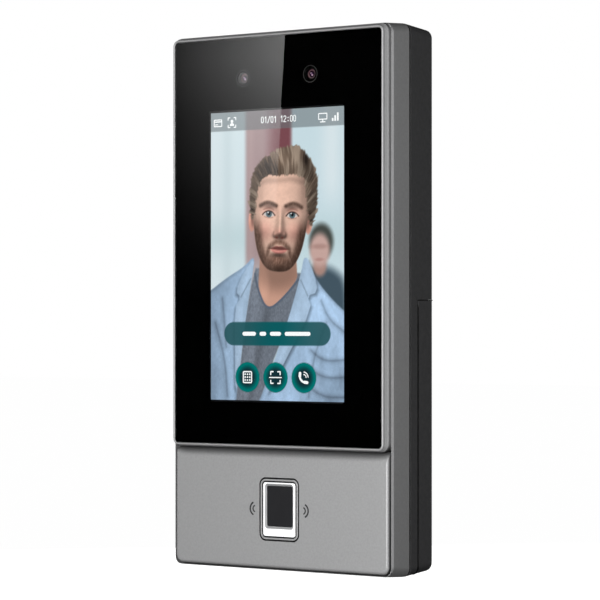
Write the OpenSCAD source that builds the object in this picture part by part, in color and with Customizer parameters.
// Wall-mounted access terminal with a finger sensor, a display and two cameras.
// +Z is up, +Y points to the wall, and the front faces -Y. The wall plane is y = 0, and the origin
// is the centre of the wall screw pattern. Depths are counted from the bezel lip towards the wall.

/* [Housing] */
// Width across the parting line
body_w = 88.8; // [86:0.2:96]
// Height from the bottom edge to the top edge
body_h = 177.4; // [158:0.1:190]
// Depth from the bezel lip to the wall
body_d = 27; // [25:0.2:34]
// Corner radius of the housing seen from the front
corner_r = 3; // [2.4:0.1:4]
// Radius of the edge round the back
back_r = 0.6; // [0.4:0.1:3]
// Amount by which the silver band widens towards the parting line, each side
frame_draft = 0.25; // [0.1:0.05:0.5]
// Amount by which it grows towards the parting line at its top and bottom
end_draft = 0.5; // [0.1:0.05:0.8]
// Amount by which the rear narrows towards the wall, each side
rear_draft = 0.8; // [0.1:0.05:1]
// Wall thickness of the silver band and the rear shell
wall_t = 2; // [1.6:0.1:2.3]
// Depth of the parting line
parting_d = 12.5; // [12:0.1:13]
// Thickness of the seal in the parting line
seam_t = 0.5; // [0.3:0.1:0.8]
// Clearance between mouldings that fit into each other
fit_gap = 0.1; // [0.05:0.05:0.2]
// Clearance round parts that are only led through an opening
loose_gap = 0.4; // [0.3:0.1:0.6]

/* [Front cover] */
// Margin between the glass and the side of the housing
glass_side = 2.85; // [2.6:0.05:4]
// Margin between the glass and the top of the housing
glass_top = 2.3; // [2.1:0.1:4]
// Height of the chin below the glass
chin_h = 41.6; // [38:0.1:46]
// Corner radius of the glass
glass_r = 1.2; // [0.8:0.1:2]
// Glass thickness
glass_t = 1.1; // [0.7:0.1:1.4]
// Depth of the glass below the lip
glass_sink = 0.15; // [0.05:0.05:0.4]
// Thickness of the adhesive tape under the glass
tape_t = 0.4; // [0.2:0.1:0.6]
// Width of the lip round the glass
lip_w = 0.85; // [0.6:0.05:1]
// Width of the rim beside the cover
rim_side = 1.05; // [0.8:0.05:1.3]
// Width of the rim above and below the cover
rim_end = 0.3; // [0.25:0.05:0.9]
// Bevel along the outer edge of the rim
rim_bevel = 0.5; // [0.2:0.1:0.7]
// Depth of the rim behind the lip
rim_drop = 2.9; // [2.6:0.1:3.2]
// Depth of the chin face behind the lip
chin_drop = 2.2; // [1.8:0.1:2.4]
// Height of the groove between the bezel and the chin
valley_h = 0.9; // [0.5:0.1:1.5]
// Height over which the chin face falls back to that groove
chin_fall = 3; // [2:0.1:4]
// Thickness of the cover in the chin
cover_t = 1.6; // [1.2:0.1:2]
// Thickness of the ledge under the glass
ledge_t = 1.35; // [1:0.05:1.5]
// Width of the ledge under the glass
ledge_w = 5; // [4:0.1:5.5]
// Wall thickness of the skirt round the cover
skirt_t = 1.2; // [1:0.1:1.5]
// Depth of the seat in the band that the skirt stands on
seat_d = 6.5; // [6:0.1:7]

/* [Display] */
// Margin between the side of the glass and the lit area
screen_side = 14.62; // [13:0.02:16]
// Margin between the top of the glass and the lit area
screen_head = 24.08; // [22:0.02:26]
// Margin between the bottom of the glass and the lit area
screen_foot = 14.38; // [13:0.02:16]
// Margin of the panel round the lit area
panel_edge = 1.8; // [1.4:0.1:2.4]
// Margin of the panel below the lit area that holds the driver
panel_foot = 6; // [5:0.1:6.4]
// Thickness of the gasket between glass and panel
gasket_t = 0.85; // [0.5:0.05:1.2]
// Thickness of the panel
panel_t = 1.1; // [0.8:0.1:1.4]
// Thickness of the backlight
backlight_t = 2; // [1.6:0.1:2.6]
// Thickness of the carrier plate
plate_t = 1.2; // [0.8:0.1:1.5]

/* [Cameras] */
// Distance between the two cameras
camera_pitch = 27.1; // [24:0.1:30]
// Distance from the top of the glass to the cameras
camera_drop = 13.2; // [12.5:0.1:13.6]
// Diameter of the lens barrel
barrel_d = 7.2; // [6.6:0.1:7.6]
// Diameter of the lens
lens_d = 5; // [4:0.1:5.4]
// Diameter of the aperture behind the lens
iris_d = 3.3; // [2.4:0.1:3.8]
// Thickness of the camera spacer frame
camera_spacer_t = 1.6; // [1.2:0.1:2]
// Width of the camera board
camera_board_w = 47; // [46:0.5:52]
// Height of the camera board
camera_board_h = 12.5; // [11:0.1:13]
// Thickness of the small boards
small_board_t = 1.2; // [0.8:0.1:1.4]
// Diameter of an infrared lamp
led_d = 3; // [2:0.1:3.4]
// Distance between the infrared lamps
led_pitch = 9; // [7:0.1:11]

/* [Finger sensor] */
// Height of the ring centre above the bottom edge
finger_rise = 20.45; // [18:0.05:22]
// Width of the silver ring
ring_w = 15.1; // [14.5:0.1:17]
// Height of the silver ring
ring_h = 19.8; // [19.4:0.1:22]
// Corner radius of the silver ring
ring_r = 2; // [1.6:0.1:3]
// Width of the band of the silver ring
ring_band = 0.65; // [0.5:0.05:0.8]
// Gap that shows as a dark line on both sides of the ring
ring_gap = 0.45; // [0.2:0.05:0.5]
// Thickness of the flange behind the ring
ring_flange_t = 1; // [0.6:0.1:1.2]
// Thickness of the flange behind the light guide
guide_flange_t = 0.8; // [0.6:0.1:1]
// Width of the flanges beyond the ring
flange_w = 1.5; // [1:0.1:1.6]
// Width of the sensor window
sensor_w = 10.2; // [9:0.1:10.6]
// Height of the sensor window
sensor_h = 13.1; // [12:0.1:13.6]
// Height of the sensor above the ring centre
sensor_rise = 1.04; // [0.5:0.02:1.3]
// Depth of the sensor below the chin face
sensor_sink = 0.45; // [0.3:0.05:0.8]
// Width of the finger board
finger_board_w = 32; // [31.5:0.1:33]
// Height of the finger board
finger_board_h = 27; // [26:0.1:28]
// Width of the card antenna
antenna_w = 50; // [48:0.5:51]
// Height of the card antenna
antenna_h = 34; // [33:0.1:34.5]
// Thickness of the card antenna
antenna_t = 0.6; // [0.3:0.1:0.8]

/* [Main board] */
// Width of the main board
board_w = 63; // [62.5:0.1:65]
// Thickness of the main board
board_t = 1.6; // [1.2:0.1:1.7]
// Height of the standoffs between carrier plate and board
standoff_h = 4.6; // [4.4:0.1:4.8]
// Distance from the bottom edge of the housing to the board
board_foot = 10; // [9:0.1:11]
// Distance from the top edge of the housing to the board
board_head = 24.5; // [24:0.1:26]
// Distance from the board screws to the side of the board
board_screw_edge = 3; // [2.6:0.1:3.4]
// Room between the main board and the wall of the lower rear
board_room = 2.6; // [1.9:0.1:2.9]
// Width of the terminal block
block_w = 26; // [25.8:0.1:27]
// Width of the network socket
network_w = 16; // [15:0.1:16.5]
// Width of the power terminal
power_w = 10; // [9:0.1:10.5]
// Height of the three connectors
connector_h = 13; // [12:0.1:13.5]

/* [Wall bracket] */
// Height of the bracket
bracket_h = 88.6; // [79:0.1:97]
// Slit between the bracket and the rear shell
slit_t = 0.8; // [0.4:0.1:1]
// Gap between the top of the bracket and the step above it
step_gap = 0.3; // [0.2:0.1:0.6]
// Thickness of the wall plate
bracket_t = 2; // [1.6:0.1:2.2]
// Thickness of the bottom wall that holds the security screw
bracket_foot_t = 3.5; // [3:0.1:4]
// Distance between the wall screws across
wall_pitch_x = 60; // [56:0.5:62]
// Distance between the wall screws in height
wall_pitch_z = 70; // [69:0.5:71]
// Diameter of the wall screw holes
wall_hole_d = 4.4; // [4:0.1:5]
// Distance between the two wall box slots
box_pitch = 60.3; // [58:0.1:62]
// Length of a wall box slot
box_slot_l = 8; // [7:0.1:10]
// Width of the cable window
window_w = 44; // [36:0.5:48]
// Height of the cable window
window_h = 34; // [28:0.5:36]
// Lift that frees the terminal from the bracket
lift = 6; // [5.5:0.1:6.5]
// Width of a hook
hook_w = 3; // [2.4:0.1:3.4]
// Height of a hook's neck
neck_h = 3; // [2.5:0.1:3.5]
// Thickness of a hook's tip
tip_t = 1.3; // [1:0.1:1.4]
// Distance from the middle of a hook to the side of the housing
hook_inset = 5.9; // [5.7:0.1:6.2]

/* [Screws and buttons] */
// Diameter of the large screws
screw_d = 3; // [2.5:0.1:3.2]
// Diameter of the small screws
small_screw_d = 2; // [1.6:0.1:2.2]
// Play of a screw in its hole
screw_play = 0.3; // [0.2:0.05:0.5]
// Distance from the rear screws to the side of the housing
rear_screw_inset = 7.4; // [7.2:0.1:7.8]
// Distance from the rear screws to the top and bottom edges
rear_screw_end = 7; // [6.8:0.1:7.4]
// Height of the tamper plunger above the bracket
tamper_rise = 44; // [42:0.5:48]
// Diameter of the tamper plunger's head
plunger_d = 6; // [5:0.1:6.4]
// Travel of the tamper plunger
plunger_travel = 1.5; // [1.2:0.1:1.6]
// Wire diameter of the tamper spring
spring_wire_d = 0.6; // [0.5:0.05:0.7]
// Number of turns of the tamper spring
spring_turns = 5; // [3:1:6]
// Diameter of the reset button
reset_d = 3; // [2.5:0.1:3.5]
// Travel of the reset button
reset_travel = 0.5; // [0.3:0.05:0.5]

/* [Hidden] */
$fn = 64;
hull_fn = 32;
least_r = 0.3;
cut = 1;
thin = 0.01;

z_bot = -bracket_h / 2;
z_top = z_bot + body_h;
z_mid = (z_bot + z_top) / 2;

glass_w = body_w - 2 * glass_side;
glass_h = body_h - glass_top - chin_h;
glass_z1 = z_top - glass_top;
glass_z0 = z_bot + chin_h;
glass_z = (glass_z0 + glass_z1) / 2;
glass_back = glass_sink + glass_t;
ledge_front = glass_back + tape_t;
ledge_back = ledge_front + ledge_t;
ledge_end = 5;
ledge_head = 6;
window_top = glass_z1 - ledge_head;
window_bottom = glass_z0 + ledge_end;
window_half = glass_w / 2 - ledge_w;
tape_edge = 0.4;

cover_w = body_w - 2 * (frame_draft + rim_side);
cover_h = body_h - 2 * (end_draft + rim_end);
cover_r = corner_r - (rim_side + rim_end) / 2;
rim_end_bevel = min(rim_bevel, rim_end / 2);
cover_z0 = z_mid - cover_h / 2;
cover_z1 = z_mid + cover_h / 2;
bezel_foot = glass_z0 - lip_w;
chin_top = bezel_foot - valley_h;
chin_back = chin_drop + cover_t;
cavity_w = cover_w - 2 * skirt_t;
cavity_r = 1.2;

screen_w = glass_w - 2 * screen_side;
screen_h = glass_h - screen_head - screen_foot;
screen_z = glass_z0 + screen_foot + screen_h / 2;
panel_w = screen_w + 2 * panel_edge;
panel_z0 = screen_z - screen_h / 2 - panel_foot;
panel_z1 = screen_z + screen_h / 2 + panel_edge;
panel_front = glass_back + gasket_t;
panel_back = panel_front + panel_t;
backlight_over = 1;
backlight_w = panel_w + 2 * backlight_over;
driver_lip = 4;
backlight_z0 = panel_z0 + driver_lip;
backlight_z1 = panel_z1 + backlight_over;
gasket_in = 0.6;
plate_front = panel_back + backlight_t;
plate_back = plate_front + plate_t;
plate_w = cavity_w - 2 * loose_gap;
plate_z0 = glass_z0 + ledge_end;
plate_z1 = cover_z1 - skirt_t - loose_gap;
plate_boss_d = 4.6;
boss_margin = 0.6;
plate_boss_x = cavity_w / 2 - plate_boss_d / 2 - boss_margin;
plate_boss_rise = 16;
plate_boss_drop = 32;
plate_boss_z = [plate_z0 + plate_boss_rise, plate_z1 - plate_boss_drop];

camera_z = glass_z1 - camera_drop;
camera_board_front = plate_back + camera_spacer_t;
camera_board_back = camera_board_front + small_board_t;
barrel_front = glass_back + loose_gap;
lens_bore = 2.4;
lens_seat = barrel_front + lens_bore;
lens_lead = 0.4;
lens_sag = 0.7;
iris_depth = 1;
camera_screw_edge = 2.6;
camera_screw_x = camera_board_w / 2 - camera_screw_edge;
led_sink = 1.4;
led_front = barrel_front + led_sink;

finger_z = z_bot + finger_rise;
sensor_z = finger_z + sensor_rise;
guide_w = ring_w - 2 * (ring_band + ring_gap);
guide_h = ring_h - 2 * (ring_band + ring_gap);
guide_r = 1.5;
flange_out_w = ring_w + 2 * flange_w;
flange_out_h = ring_h + 2 * flange_w;
ring_flange_back = chin_back + ring_flange_t;
finger_board_front = ring_flange_back + guide_flange_t;
finger_board_back = finger_board_front + small_board_t;
sensor_front = chin_drop + sensor_sink;
sensor_r = 1;
guide_bevel = 0.9;
finger_boss_d = 4;
finger_boss_x = finger_board_w / 2 - finger_boss_d / 2 - boss_margin;
finger_boss_z = finger_board_h / 2 - finger_boss_d / 2 - boss_margin;
antenna_back = chin_back + antenna_t;
antenna_play = 0.5;
antenna_hole_w = finger_board_w + 2 * antenna_play;
antenna_hole_h = finger_board_h + 2 * antenna_play;
contact_x = (antenna_w + antenna_hole_w) / 4;
contact_d = 1.6;

board_front = plate_back + standoff_h;
board_back = board_front + board_t;
board_z0 = z_bot + board_foot;
board_z1 = z_top - board_head;
board_screw_x = board_w / 2 - board_screw_edge;
board_screw_rise = 4;
board_foot_z = board_z0 + board_screw_rise;
connector_drop = 13;
connector_z1 = bracket_h / 2 - connector_drop;
connector_z0 = connector_z1 - connector_h;
connector_z = (connector_z0 + connector_z1) / 2;
standoff_drop = 6;
standoff_z = [(plate_z0 + connector_z0) / 2, board_z1 - standoff_drop];
standoff_d = 5;
small_head_d = 2 * small_screw_d;
small_head_h = 0.6 * small_screw_d;
small_hole_d = small_screw_d + screw_play;
small_grip = 1.2;
tip_room = 1;
drive_share = 0.9;

rear_front = parting_d + seam_t;
rear_inner = body_d - wall_t;
lower_front = board_back + board_room;
lower_back = lower_front + wall_t;
step_z = bracket_h / 2 + step_gap;
rear_screw_x = body_w / 2 - rear_screw_inset;
rear_screw_z0 = z_bot + rear_screw_end;
rear_screw_z1 = z_top - rear_screw_end;
boss_wall = 1.7;
rear_boss_d = screw_d + 2 * boss_wall;
screw_hole_d = screw_d + screw_play;
screw_head_d = 1.8 * screw_d;
screw_head_h = 0.75 * screw_d;
counterbore_d = screw_head_d + 2 * loose_gap;
counterbore_depth = 7;
counterbore_floor = body_d - counterbore_depth;
screw_grip = 5;

bracket_front = lower_back + slit_t;
bracket_d = body_d - bracket_front;
plate_face = body_d - bracket_t;
hook_x = body_w / 2 - hook_inset;
hook_drop = 16;
hook_rise = 28;
hook_z = [bracket_h / 2 - hook_drop, hook_rise - bracket_h / 2];
hook_tip_gap = 0.3;
hook_tip_back = lower_front - hook_tip_gap;
hook_rest_gap = 0.1;
tip_lead = 1;
tip_h = neck_h + lift - tip_lead;
slot_h = neck_h + lift + 2 * loose_gap;
window_z = -6;
wall_hole_x = wall_pitch_x / 2;
wall_hole_z = wall_pitch_z / 2;

connector_edge = 1.5;
block_x = block_w / 2 + connector_edge - board_w / 2;
power_x = board_w / 2 - connector_edge - power_w / 2;
network_x = (block_x + block_w / 2 + power_x - power_w / 2) / 2;
block_t = 9.4;
block_back = board_back + block_t;
network_back = plate_face - loose_gap;
network_lead = 0.5;
network_back_t = 0.8;
network_side_t = 2;
network_roof_t = 2.5;
network_bay_front = lower_back + network_lead;
network_bay_back = network_back - network_back_t;
network_bay_w = network_w - 2 * network_side_t;
network_bay_h = connector_h - network_roof_t;
pole_pitch = 3.2;
pole_hole_d = 2;
power_hole_d = 2.6;
wire_depth = 2.4;
wire_screw_rise = 2;
wire_screw_depth = 1;
wire_screw_play = 0.1;

lug_w = 10;
lug_h = 6.4;
lug_gap = 0.3;
lug_room = 1.6;
lug_z0 = z_bot + bracket_foot_t + lug_gap;
lug_back = plate_face - lug_room;
security_d = (lower_back + lug_back) / 2;
security_grip = 4;
security_tip = lug_z0 + security_grip;

tamper_z = bracket_h / 2 + tamper_rise;
tamper_switch_w = 4.4;
tamper_switch_t = 3;
tamper_switch_back = board_back + tamper_switch_t;
tamper_actuator_t = 1;
tamper_actuator_back = tamper_switch_back + tamper_actuator_t;
tamper_actuator_d = 2.2;
plunger_gap = 0.15;
plunger_end = body_d - plunger_gap;
plunger_stem_d = 3;
plunger_stem_front = tamper_actuator_back + plunger_gap;
spring_d = 7.6;
flange_rim = 0.2;
flange_d = spring_d + spring_wire_d + 2 * flange_rim;
flange_t = 1.5;
flange_back = rear_inner - plunger_travel - plunger_gap;
flange_front = flange_back - flange_t;
guide_in_d = flange_d + 2 * loose_gap;
guide_wall = 1.2;
guide_out_d = guide_in_d + 2 * guide_wall;
guide_lead = 3;
guide_front = flange_front - guide_lead;

reset_x = 22;
reset_drop = 30;
reset_z = connector_z0 - reset_drop;
reset_switch_w = 4.5;
reset_switch_t = 0.5;
reset_switch_back = board_back + reset_switch_t;
reset_rim = 1;
reset_flange_d = reset_d + 2 * reset_rim;
reset_flange_t = 0.7;
reset_gap = 0.25;
reset_flange_back = lower_front - reset_gap;
reset_proud = 0.6;
reset_end = lower_back + reset_proud;
reset_play = 0.2;
reset_hole_d = reset_d + 2 * reset_play;

speaker_w = 20;
speaker_h = 4.5;
speaker_lead = 0.6;
speaker_room = 0.4;
speaker_front = seat_d + speaker_lead;
speaker_back = parting_d - speaker_room;
speaker_d = (speaker_front + speaker_back) / 2;
sound_hole_d = 1.6;
sound_pitch = 3.2;
inner_floor = z_bot + wall_t;
mic_x = 25;
mic_d = 4.4;
mic_h = 2.4;
mic_hole_d = 1.2;

shield_x = -6;
shield_w = 36;
shield_h = 26;
shield_t = 0.3;
shield_depth = 2.6;
shield_rise = 5.5;
shield_back = board_back + shield_depth;
shield_z = step_z + wall_t + shield_rise + shield_h / 2;

cpu_w = 15;
cpu_t = 1.4;
chip_t = 1.1;
memory_w = 8;
memory_h = 12;
memory_x = shield_x - 12;
driver_w = 9;
driver_x = 20;
driver_step = 6.5;
reader_w = 12;
reader_h = 8;
reader_x = -14;
reader_rise = 22;
clock_w = 6;
clock_x = 4;
coil_w = 7;
coil_t = 3;
coil_x = 20;
coil_rise = 20;
// Chips on the board: X, Z, width, height and thickness of each
chips = [
    [shield_x, shield_z, cpu_w, cpu_w, cpu_t],
    [memory_x, shield_z, memory_w, memory_h, chip_t],
    [driver_x, shield_z + driver_step, driver_w, driver_w, chip_t],
    [driver_x, shield_z - driver_step, driver_w, driver_w, chip_t],
    [reader_x, board_z0 + reader_rise, reader_w, reader_h, chip_t],
    [clock_x, board_z0 + reader_rise, clock_w, clock_w, chip_t],
    [coil_x, shield_z + coil_rise, coil_w, coil_w, coil_t],
];
capacitor_d = 6.3;
capacitor_h = 6;
capacitor_x = -22;
capacitor_z = shield_z + coil_rise;

flex_t = 0.3;
flex_w = 18;
flex_drop = 0.5;
socket_t = 1.2;
socket_h = 4;
socket_over = 0.5;
camera_flex_w = 10;
camera_socket_h = 3.4;
camera_socket_edge = 3;
camera_ribbon_front = camera_board_back + 0.9;
plug_w = 12;
plug_h = 4;
plug_rise = 4;
plug_shroud = 0.7;

// Place of a depth on the Y axis
function at(d) = d - body_d;

// Outline of a rectangle with round corners, centred
module rounded(w, h, r) {
    square([w - 2 * r, h], center = true);
    square([w, h - 2 * r], center = true);
    for (sx = [-1, 1], sz = [-1, 1])
        translate([sx * (w / 2 - r), sz * (h / 2 - r)]) circle(r);
}

// Flat piece between two depths, from an outline in X and Z
module slab(d0, d1) {
    translate([0, at(d1), 0]) rotate([90, 0, 0]) linear_extrude(d1 - d0) children();
}

module plate(d0, d1, w, h, r, x = 0, z = 0) {
    slab(d0, d1) translate([x, z]) rounded(w, h, r);
}

module block(d0, d1, w, h, x = 0, z = 0) {
    slab(d0, d1) translate([x, z]) square([w, h], center = true);
}

module rod(d0, d1, dia, x = 0, z = 0) {
    translate([x, at(d1), z]) rotate([90, 0, 0]) cylinder(h = d1 - d0, d = dia);
}

// Outline of the housing, drawn in by an inset, which may differ at the top and bottom
module body_outline(inset, r, end = undef) {
    end_inset = is_undef(end) ? inset : end;
    translate([0, z_mid]) rounded(body_w - 2 * inset, body_h - 2 * end_inset, r);
}

// Screw along Y with its head towards the wall
module screw(head_front, tip, shank_d, head_d, head_h, x, z) {
    difference() {
        union() {
            rod(tip, head_front + thin, shank_d, x, z);
            rod(head_front, head_front + head_h, head_d, x, z);
        }
        translate([x, at(head_front + head_h) + cut, z]) rotate([90, 0, 0])
            cylinder(h = cut + head_h / 2, d = drive_share * shank_d, $fn = 6);
    }
}

module small_screw(head_front, tip, x, z) {
    screw(head_front, tip, small_screw_d, small_head_d, small_head_h, x, z);
}

// Solid of the whole rear, from the seal to the wall
module rear_envelope() {
    hull() {
        slab(rear_front, rear_front + thin, $fn = hull_fn) body_outline(0, corner_r, $fn = hull_fn);
        for (t = [0 : 22.5 : 90]) {
            inset = back_r * (1 - cos(t));
            d1 = body_d - back_r * (1 - sin(t));
            slab(d1 - thin, d1, $fn = hull_fn)
                body_outline(rear_draft + inset, max(corner_r - inset, least_r), $fn = hull_fn);
        }
    }
}

module front_cover() {
    color("silver") difference() {
        union() {
            difference() {
                union() {
                    bezel();
                    chin();
                    plate(rim_drop, seat_d, cover_w, cover_h, cover_r, 0, z_mid);
                }
                plate(-cut, ledge_front, glass_w + 2 * fit_gap, glass_h + 2 * fit_gap,
                    glass_r + fit_gap, 0, glass_z);
                block(ledge_front - cut, seat_d, 2 * window_half, window_top - window_bottom,
                    0, (window_top + window_bottom) / 2);
                cover_cavity(ledge_back, bezel_foot, cover_z1 - skirt_t);
                cover_cavity(chin_back, cover_z0 + skirt_t, bezel_foot + cut);
                plate(-cut, seat_d, ring_w + 2 * ring_gap, ring_h + 2 * ring_gap, ring_r + ring_gap,
                    0, finger_z);
            }
            for (sx = [-1, 1]) {
                for (z = plate_boss_z)
                    rod(ledge_back - thin, plate_front, plate_boss_d, sx * plate_boss_x, z);
                rod(ledge_back - thin, parting_d, rear_boss_d, sx * rear_screw_x, rear_screw_z1);
                rod(chin_back - thin, parting_d, rear_boss_d, sx * rear_screw_x, rear_screw_z0);
                rod(chin_back - thin, board_front, standoff_d, sx * board_screw_x, board_foot_z);
                for (sz = [-1, 1])
                    rod(chin_back - thin, finger_board_front, finger_boss_d,
                        sx * finger_boss_x, finger_z + sz * finger_boss_z);
            }
        }
        for (sx = [-1, 1]) {
            for (z = plate_boss_z)
                rod(plate_front - small_grip, plate_front + cut, small_hole_d, sx * plate_boss_x, z);
            for (z = [rear_screw_z0, rear_screw_z1])
                rod(parting_d - screw_grip, parting_d + cut, screw_hole_d, sx * rear_screw_x, z);
            rod(board_front - 2 * small_grip, board_front + cut, small_hole_d,
                sx * board_screw_x, board_foot_z);
            for (sz = [-1, 1])
                rod(finger_board_front - small_grip, finger_board_front + cut, small_hole_d,
                    sx * finger_boss_x, finger_z + sz * finger_boss_z);
        }
    }
}

// Raised frame round the glass, wider at its foot than at its lip
module bezel() {
    foot_h = cover_z1 - bezel_foot;
    hull() {
        plate(0, thin, glass_w + 2 * lip_w, glass_h + 2 * lip_w, glass_r + lip_w, 0, glass_z,
            $fn = hull_fn);
        plate(rim_drop, rim_drop + thin, cover_w, foot_h, cover_r, 0, bezel_foot + foot_h / 2,
            $fn = hull_fn);
    }
}

// Plate below the glass, with a face that falls back towards the groove above it
module chin() {
    slope = atan((rim_drop - chin_drop) / chin_fall);
    difference() {
        plate(chin_drop, rim_drop + thin, cover_w, chin_top - cover_z0, cover_r, 0, (chin_top + cover_z0) / 2);
        translate([-body_w / 2, at(chin_drop), chin_top - chin_fall])
            rotate([-slope, 0, 0])
                translate([0, -body_d, 0])
                    cube([body_w, body_d, 2 * chin_fall]);
    }
}

// Hollow behind the cover between two heights
module cover_cavity(d0, z0, z1) {
    plate(d0, seat_d + cut, cavity_w, z1 - z0, cavity_r, 0, (z0 + z1) / 2);
}

module side_frame() {
    color("dimgray") difference() {
        hull() {
            slab(rim_drop, rim_drop + thin)
                body_outline(frame_draft + rim_bevel, corner_r - rim_bevel, end_draft + rim_end_bevel,
                    $fn = hull_fn);
            slab(rim_drop + rim_bevel, rim_drop + rim_bevel + thin)
                body_outline(frame_draft, corner_r, end_draft, $fn = hull_fn);
            slab(parting_d - thin, parting_d) body_outline(0, corner_r, $fn = hull_fn);
        }
        plate(rim_drop - cut, seat_d, cover_w + 2 * fit_gap, cover_h + 2 * fit_gap, cover_r + fit_gap,
            0, z_mid);
        slab(seat_d - thin, parting_d + cut) body_outline(wall_t, cavity_r);
        for (k = [-2 : 2])
            floor_hole(k * sound_pitch, speaker_d, sound_hole_d);
        floor_hole(mic_x, speaker_d, mic_hole_d);
    }
}

// Hole through the bottom wall of the band
module floor_hole(x, d, dia) {
    translate([x, at(d), z_bot - cut]) cylinder(h = wall_t + 2 * cut, d = dia);
}

module rear_shell() {
    color([0.12, 0.12, 0.13]) difference() {
        union() {
            difference() {
                rear_envelope();
                translate([-body_w, at(lower_back), z_bot - cut])
                    cube([2 * body_w, bracket_d + slit_t + cut, step_z - z_bot + cut]);
                slab(rear_front - cut, lower_front) body_outline(wall_t, cavity_r);
                upper_cavity();
            }
            for (sx = [-1, 1]) {
                rod(parting_d, lower_front + thin, rear_boss_d, sx * rear_screw_x, rear_screw_z0);
                rod(parting_d, rear_inner + thin, counterbore_d + wall_t, sx * rear_screw_x, rear_screw_z1);
            }
            rod(guide_front, rear_inner + thin, guide_out_d, 0, tamper_z);
            block(lower_back - thin, lug_back, lug_w, lug_h, 0, lug_z0 + lug_h / 2);
        }
        for (sx = [-1, 1]) {
            rod(parting_d - cut, lower_back + cut, screw_hole_d, sx * rear_screw_x, rear_screw_z0);
            rod(parting_d - cut, counterbore_floor + cut, screw_hole_d, sx * rear_screw_x, rear_screw_z1);
            rod(counterbore_floor, body_d + cut, counterbore_d, sx * rear_screw_x, rear_screw_z1);
            for (z = hook_z)
                block(lower_front - cut, lower_back + cut, hook_w + 2 * loose_gap, slot_h, sx * hook_x,
                    z + neck_h + hook_rest_gap - slot_h / 2);
        }
        rod(guide_front - cut, rear_inner, guide_in_d, 0, tamper_z);
        rod(rear_inner - cut, body_d + cut, plunger_d + loose_gap, 0, tamper_z);
        rod(lower_front - cut, lower_back + cut, reset_hole_d, reset_x, reset_z);
        connector_window(block_w, block_x);
        connector_window(network_w, network_x);
        connector_window(power_w, power_x);
        translate([0, at(security_d), lug_z0 - cut]) cylinder(h = lug_h, d = screw_hole_d + screw_play);
    }
}

// Deep hollow above the bracket
module upper_cavity() {
    z0 = step_z + wall_t;
    z1 = z_top - rear_draft - wall_t;
    w = body_w - 2 * (rear_draft + wall_t);
    plate(lower_front - cut, rear_inner, w, z1 - z0, cavity_r, 0, (z0 + z1) / 2);
}

// Opening in the lower wall that a connector passes through
module connector_window(w, x) {
    block(lower_front - cut, lower_back + cut, w + 2 * loose_gap, connector_h + 2 * loose_gap,
        x, connector_z);
}

module cover_glass() {
    color([0.05, 0.05, 0.06]) plate(glass_sink, glass_back, glass_w, glass_h, glass_r, 0, glass_z);
}

module glass_tape() {
    color("black") difference() {
        plate(glass_back, ledge_front, glass_w - 2 * tape_edge, glass_h - 2 * tape_edge, glass_r, 0, glass_z);
        block(glass_back - cut, ledge_front + cut, 2 * (window_half + tape_edge),
            window_top - window_bottom + 2 * tape_edge, 0, (window_top + window_bottom) / 2);
    }
}

module housing_seal() {
    color([0.08, 0.08, 0.08]) difference() {
        slab(parting_d, rear_front) body_outline(0.4 * wall_t, corner_r - 0.4 * wall_t);
        slab(parting_d - cut, rear_front + cut) body_outline(wall_t, cavity_r);
    }
}

module lcd_gasket() {
    color("dimgray") difference() {
        block(glass_back, panel_front, panel_w, screen_h + 2 * panel_edge, 0, screen_z);
        block(glass_back - cut, panel_front + cut, screen_w + 2 * gasket_in, screen_h + 2 * gasket_in,
            0, screen_z);
    }
}

module lcd_panel() {
    color("lightblue")
        block(panel_front, panel_back, panel_w, panel_z1 - panel_z0, 0, (panel_z0 + panel_z1) / 2);
}

module lcd_backlight() {
    color("white")
        plate(panel_back, plate_front, backlight_w, backlight_z1 - backlight_z0, cavity_r,
            0, (backlight_z0 + backlight_z1) / 2);
}

module mid_plate() {
    color("lightgray") difference() {
        plate(plate_front, plate_back, plate_w, plate_z1 - plate_z0, cavity_r, 0, (plate_z0 + plate_z1) / 2);
        for (sx = [-1, 1]) {
            for (z = plate_boss_z)
                rod(plate_front - cut, plate_back + cut, small_hole_d, sx * plate_boss_x, z);
            for (z = standoff_z)
                rod(plate_front - cut, plate_back + cut, small_hole_d, sx * board_screw_x, z);
            rod(plate_front - cut, plate_back + cut, rear_boss_d + 2 * loose_gap,
                sx * rear_screw_x, rear_screw_z1);
        }
        camera_holes(plate_front, plate_back);
        block(plate_front - cut, plate_back + cut, flex_w + 4 * loose_gap,
            2 * (backlight_z0 - plate_z0), 0, plate_z0);
    }
}

module main_board() {
    color("darkgreen") difference() {
        plate(board_front, board_back, board_w, board_z1 - board_z0, cavity_r, 0, (board_z0 + board_z1) / 2);
        for (sx = [-1, 1], z = concat([board_foot_z], standoff_z))
            rod(board_front - cut, board_back + cut, small_hole_d, sx * board_screw_x, z);
    }
}

module board_standoffs() {
    color("goldenrod") for (sx = [-1, 1], z = standoff_z)
        difference() {
            translate([sx * board_screw_x, at(board_front), z]) rotate([90, 0, 0])
                cylinder(h = standoff_h, d = standoff_d, $fn = 6);
            rod(plate_back - cut, board_front + cut, small_hole_d, sx * board_screw_x, z);
        }
}

module processor_shield() {
    color("gainsboro") difference() {
        block(board_back, shield_back, shield_w, shield_h, shield_x, shield_z);
        block(board_back - cut, shield_back - shield_t, shield_w - 2 * shield_t, shield_h - 2 * shield_t,
            shield_x, shield_z);
    }
}

module board_chips() {
    color([0.15, 0.15, 0.16]) {
        for (c = chips)
            block(board_back, board_back + c[4], c[2], c[3], c[0], c[1]);
        rod(board_back, board_back + capacitor_h, capacitor_d, capacitor_x, capacitor_z);
    }
}

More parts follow.
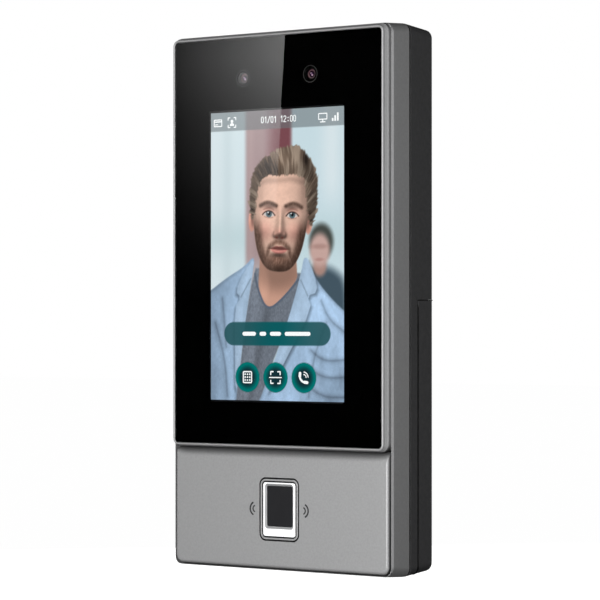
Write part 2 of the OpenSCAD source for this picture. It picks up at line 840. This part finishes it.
// Ribbon from the driver edge of the panel to the main board, with its socket
module display_flex() {
    z1 = backlight_z0 - flex_drop;
    z0 = panel_z0 + flex_drop;
    socket_front = board_front - socket_t;
    color("orange") {
        block(panel_back, panel_back + flex_t, flex_w, z1 - z0, 0, (z0 + z1) / 2);
        block(panel_back, socket_front + thin, flex_w, flex_t, 0, z0 + flex_t / 2);
        block(socket_front, board_front, flex_w + 2 * socket_over, socket_h, 0, z0);
    }
}

// Ribbon from the camera board to the main board, with a socket at each end
module camera_flex() {
    upper_z = camera_z - camera_board_h / 2 + camera_socket_edge;
    lower_z = board_z1 - camera_socket_edge;
    socket_w = camera_flex_w + 2 * socket_over;
    ribbon_back = camera_ribbon_front + flex_t;
    color("orange") {
        block(camera_board_back, ribbon_back, socket_w, camera_socket_h, 0, upper_z);
        block(camera_ribbon_front, ribbon_back, camera_flex_w, upper_z - lower_z, 0, (upper_z + lower_z) / 2);
        block(camera_ribbon_front, board_front, socket_w, camera_socket_h, 0, lower_z);
    }
}

module camera_board() {
    color("darkgreen") difference() {
        block(camera_board_front, camera_board_back, camera_board_w, camera_board_h, 0, camera_z);
        for (sx = [-1, 1])
            rod(camera_board_front - cut, camera_board_back + cut, small_hole_d,
                sx * camera_screw_x, camera_z);
    }
}

module camera_bracket() {
    color([0.2, 0.2, 0.2]) difference() {
        block(plate_back, camera_board_front, camera_board_w, camera_board_h, 0, camera_z);
        camera_holes(plate_back, camera_board_front);
    }
}

// Holes for the barrels, the lamps and the screws of the cameras
module camera_holes(d0, d1) {
    for (sx = [-1, 1]) {
        rod(d0 - cut, d1 + cut, barrel_d + 2 * loose_gap, sx * camera_pitch / 2, camera_z);
        rod(d0 - cut, d1 + cut, led_d + 2 * loose_gap, sx * led_pitch / 2, camera_z);
        rod(d0 - cut, d1 + cut, small_hole_d, sx * camera_screw_x, camera_z);
    }
}

module camera_barrel(side) {
    x = side * camera_pitch / 2;
    color([0.1, 0.1, 0.1]) difference() {
        rod(barrel_front, camera_board_front, barrel_d, x, camera_z);
        rod(barrel_front - cut, lens_seat, lens_d + 2 * fit_gap, x, camera_z);
        rod(lens_seat - cut, lens_seat + iris_depth, iris_d, x, camera_z);
    }
}

// Lens with a domed front
module camera_lens(side) {
    front = barrel_front + lens_lead;
    dome_r = (lens_d * lens_d / 4 + lens_sag * lens_sag) / (2 * lens_sag);
    color([0.25, 0.2, 0.35]) intersection() {
        rod(front, lens_seat, lens_d, side * camera_pitch / 2, camera_z);
        translate([side * camera_pitch / 2, at(front) + dome_r, camera_z]) sphere(dome_r);
    }
}

module ir_leds() {
    color([0.3, 0.1, 0.15]) for (sx = [-1, 1]) {
        rod(led_front + led_d / 2, camera_board_front, led_d, sx * led_pitch / 2, camera_z);
        translate([sx * led_pitch / 2, at(led_front + led_d / 2), camera_z]) sphere(d = led_d);
    }
}

module finger_ring() {
    color("silver") difference() {
        union() {
            plate(chin_drop, chin_back + thin, ring_w, ring_h, ring_r, 0, finger_z);
            plate(chin_back, ring_flange_back, flange_out_w, flange_out_h, ring_r + flange_w, 0, finger_z);
        }
        plate(chin_drop - cut, ring_flange_back + cut, guide_w + 2 * ring_gap, guide_h + 2 * ring_gap,
            guide_r + ring_gap, 0, finger_z);
    }
}

module finger_light_guide() {
    color("white") difference() {
        union() {
            plate(chin_drop, ring_flange_back + thin, guide_w, guide_h, guide_r, 0, finger_z);
            plate(ring_flange_back, finger_board_front, flange_out_w, flange_out_h, ring_r + flange_w,
                0, finger_z);
        }
        plate(chin_drop - cut, finger_board_front + cut, sensor_w + 2 * fit_gap, sensor_h + 2 * fit_gap,
            sensor_r + fit_gap, 0, sensor_z);
        hull() {
            plate(chin_drop - thin, chin_drop, sensor_w + 2 * guide_bevel, sensor_h + 2 * guide_bevel,
                sensor_r + guide_bevel, 0, sensor_z - guide_bevel, $fn = hull_fn);
            plate(sensor_front - thin, sensor_front, sensor_w + 2 * fit_gap, sensor_h + 2 * fit_gap,
                sensor_r + fit_gap, 0, sensor_z, $fn = hull_fn);
        }
    }
}

module finger_sensor() {
    color([0.17, 0.17, 0.18])
        plate(sensor_front, finger_board_front, sensor_w, sensor_h, sensor_r, 0, sensor_z);
}

module finger_board() {
    color("darkgreen") difference() {
        block(finger_board_front, finger_board_back, finger_board_w, finger_board_h, 0, finger_z);
        for (sx = [-1, 1], sz = [-1, 1])
            rod(finger_board_front - cut, finger_board_back + cut, small_hole_d,
                sx * finger_boss_x, finger_z + sz * finger_boss_z);
    }
}

module finger_connector() {
    color("ivory") {
        block(finger_board_back, board_front, plug_w, plug_h, 0, finger_z + plug_rise);
        block(finger_board_back, (finger_board_back + board_front) / 2, plug_w + 2 * plug_shroud,
            plug_h + 2 * plug_shroud, 0, finger_z + plug_rise);
    }
}

module card_antenna() {
    color("peru") difference() {
        block(chin_back, antenna_back, antenna_w, antenna_h, 0, finger_z);
        block(chin_back - cut, antenna_back + cut, antenna_hole_w, antenna_hole_h, 0, finger_z);
    }
}

module antenna_contacts() {
    color("gold") for (sx = [-1, 1]) {
        rod(antenna_back, board_front, contact_d, sx * contact_x, finger_z);
        rod((antenna_back + board_front) / 2, board_front, 2 * contact_d, sx * contact_x, finger_z);
    }
}

module speaker() {
    z = inner_floor + speaker_h / 2;
    color([0.2, 0.2, 0.2]) difference() {
        block(speaker_front, speaker_back, speaker_w, speaker_h, 0, z);
        for (k = [-2 : 2])
            translate([k * sound_pitch, at(speaker_d), inner_floor - cut])
                cylinder(h = cut + speaker_h / 2, d = sound_hole_d);
    }
}

module microphone() {
    color("silver") translate([mic_x, at(speaker_d), inner_floor]) difference() {
        cylinder(h = mic_h, d = mic_d);
        translate([0, 0, -cut]) cylinder(h = cut + mic_h / 2, d = mic_hole_d);
    }
}

module terminal_block() {
    poles = floor(block_w / pole_pitch);
    color("forestgreen") difference() {
        block(board_back, block_back, block_w, connector_h, block_x, connector_z);
        for (k = [0 : poles - 1]) {
            x = block_x + (k - (poles - 1) / 2) * pole_pitch;
            wire_entry(x, pole_hole_d);
        }
    }
}

module network_socket() {
    color("lightgray") difference() {
        block(board_back, network_back, network_w, connector_h, network_x, connector_z);
        block(network_bay_front, network_bay_back, network_bay_w, 2 * network_bay_h,
            network_x, connector_z0);
    }
}

module power_terminal() {
    color("forestgreen") difference() {
        block(board_back, block_back, power_w, connector_h, power_x, connector_z);
        for (sx = [-1, 1]) {
            wire_entry(power_x + sx * power_w / 4, power_hole_d);
        }
    }
}

// Wire hole from below and screw recess from the rear, in a terminal
module wire_entry(x, dia) {
    translate([x, at(lower_back + wire_depth), connector_z0 - cut])
        cylinder(h = cut + connector_h / 2, d = dia);
    rod(block_back - wire_screw_depth, block_back + cut, dia + 2 * wire_screw_play,
        x, connector_z + wire_screw_rise);
}

module tamper_plunger() {
    color([0.85, 0.85, 0.82]) {
        rod(plunger_stem_front, flange_front + thin, plunger_stem_d, 0, tamper_z);
        rod(flange_front, flange_back, flange_d, 0, tamper_z);
        rod(flange_back - thin, plunger_end, plunger_d, 0, tamper_z);
    }
}

// Points of one ring of the spring wire
function wire_ring(turn, rise) = [
    for (k = [0 : 5])
        let (r = spring_d / 2 + spring_wire_d / 2 * cos(60 * k), a = 360 * turn)
        [r * cos(a), r * sin(a), rise + spring_wire_d / 2 * sin(60 * k)]
];

module tamper_spring() {
    rings = 12 * spring_turns;
    length = flange_front - board_back - spring_wire_d - 2 * fit_gap;
    wire = [for (i = [0 : rings]) each wire_ring(i / 12, i / rings * length)];
    sides = [for (i = [0 : rings - 1], k = [0 : 5])
        let (a = 6 * i + k, b = 6 * i + (k + 1) % 6)
        each [[a, b, b + 6], [a, b + 6, a + 6]]];
    first = [for (k = [1 : 4]) [0, k + 1, k]];
    last = [for (k = [1 : 4]) [6 * rings, 6 * rings + k, 6 * rings + k + 1]];
    color("silver") translate([0, at(board_back) + spring_wire_d / 2 + fit_gap, tamper_z])
        rotate([-90, 0, 0]) polyhedron(wire, concat(sides, first, last));
}

module tamper_switch() {
    color([0.2, 0.2, 0.22]) {
        block(board_back, tamper_switch_back, tamper_switch_w, tamper_switch_w, 0, tamper_z);
        rod(tamper_switch_back - thin, tamper_actuator_back, tamper_actuator_d, 0, tamper_z);
    }
}

module reset_button() {
    color([0.7, 0.15, 0.12]) {
        rod(reset_flange_back - reset_flange_t, reset_flange_back, reset_flange_d, reset_x, reset_z);
        rod(reset_flange_back - thin, reset_end, reset_d, reset_x, reset_z);
    }
}

module reset_switch() {
    color("silver")
        block(board_back, reset_switch_back, reset_switch_w, reset_switch_w, reset_x, reset_z);
}

module rear_screws() {
    color("silver") for (sx = [-1, 1]) {
        screw(lower_back, parting_d - screw_grip + tip_room, screw_d, screw_head_d, screw_head_h,
            sx * rear_screw_x, rear_screw_z0);
        screw(counterbore_floor, parting_d - screw_grip + tip_room, screw_d, screw_head_d, screw_head_h,
            sx * rear_screw_x, rear_screw_z1);
    }
}

module plate_screws() {
    color("silver") for (sx = [-1, 1], z = plate_boss_z)
        small_screw(plate_back, plate_front - 0.8 * small_grip, sx * plate_boss_x, z);
}

module board_screws() {
    color("silver") for (sx = [-1, 1], z = concat([board_foot_z], standoff_z))
        small_screw(board_back, board_front - small_grip, sx * board_screw_x, z);
}

module camera_screws() {
    color("silver") for (sx = [-1, 1])
        small_screw(camera_board_back, plate_front + fit_gap, sx * camera_screw_x, camera_z);
}

module finger_screws() {
    color("silver") for (sx = [-1, 1], sz = [-1, 1])
        small_screw(finger_board_back, finger_board_front - 0.8 * small_grip,
            sx * finger_boss_x, finger_z + sz * finger_boss_z);
}

module wall_bracket() {
    bay_w = body_w - 2 * (rear_draft + wall_t);
    bay_z0 = z_bot + bracket_foot_t;
    bay_z1 = bracket_h / 2 - wall_t;
    color([0.12, 0.12, 0.13]) difference() {
        union() {
            difference() {
                intersection() {
                    rear_envelope();
                    translate([-body_w, at(bracket_front), z_bot - cut])
                        cube([2 * body_w, bracket_d + cut, bracket_h + cut]);
                }
                plate(bracket_front - cut, plate_face, bay_w, bay_z1 - bay_z0, cavity_r,
                    0, (bay_z0 + bay_z1) / 2);
            }
            for (sx = [-1, 1], z = hook_z)
                hook(sx * hook_x, z);
        }
        for (sx = [-1, 1]) {
            for (sz = [-1, 1])
                rod(plate_face - cut, body_d + cut, wall_hole_d, sx * wall_hole_x, sz * wall_hole_z);
            slab(plate_face - cut, body_d + cut) translate([sx * box_pitch / 2, 0]) box_slot();
        }
        plate(plate_face - cut, body_d + cut, window_w, window_h, corner_r, 0, window_z);
        translate([0, at(security_d), z_bot - cut])
            cylinder(h = bracket_foot_t + 2 * cut, d = screw_hole_d);
        translate([0, at(security_d), z_bot - cut])
            cylinder(h = cut + bracket_foot_t / 2, d = screw_head_d + loose_gap);
    }
}

// Hook that the terminal hangs on, with its tip turned up
module hook(x, z) {
    block(hook_tip_back - tip_t, plate_face + thin, hook_w, neck_h, x, z + neck_h / 2);
    block(hook_tip_back - tip_t, hook_tip_back, hook_w, tip_h, x, z + tip_h / 2);
}

// Level slot with round ends
module box_slot() {
    square([box_slot_l - wall_hole_d, wall_hole_d], center = true);
    for (sx = [-1, 1])
        translate([sx * (box_slot_l - wall_hole_d) / 2, 0]) circle(d = wall_hole_d);
}

module security_screw() {
    seat = z_bot + bracket_foot_t / 2;
    head_h = 0.4 * bracket_foot_t;
    color("silver") translate([0, at(security_d), seat]) difference() {
        union() {
            translate([0, 0, -head_h]) cylinder(h = head_h, d = screw_head_d);
            translate([0, 0, -thin]) cylinder(h = security_tip - seat + thin, d = screw_d);
        }
        translate([0, 0, -head_h - cut]) cylinder(h = cut + head_h / 2, d = drive_share * screw_d, $fn = 6);
    }
}

front_cover();
side_frame();
rear_shell();
cover_glass();
glass_tape();
housing_seal();
lcd_gasket();
lcd_panel();
lcd_backlight();
mid_plate();
main_board();
board_standoffs();
processor_shield();
board_chips();
display_flex();
camera_flex();
camera_board();
camera_bracket();
camera_barrel(-1);  // camera_barrel_left
camera_barrel(1);  // camera_barrel_right
camera_lens(-1);  // camera_lens_left
camera_lens(1);  // camera_lens_right
ir_leds();
finger_ring();
finger_light_guide();
finger_sensor();
finger_board();
finger_connector();
card_antenna();
antenna_contacts();
speaker();
microphone();
terminal_block();
network_socket();
power_terminal();
tamper_plunger();
tamper_spring();
tamper_switch();
reset_button();
reset_switch();
rear_screws();
plate_screws();
board_screws();
camera_screws();
finger_screws();
wall_bracket();
security_screw();
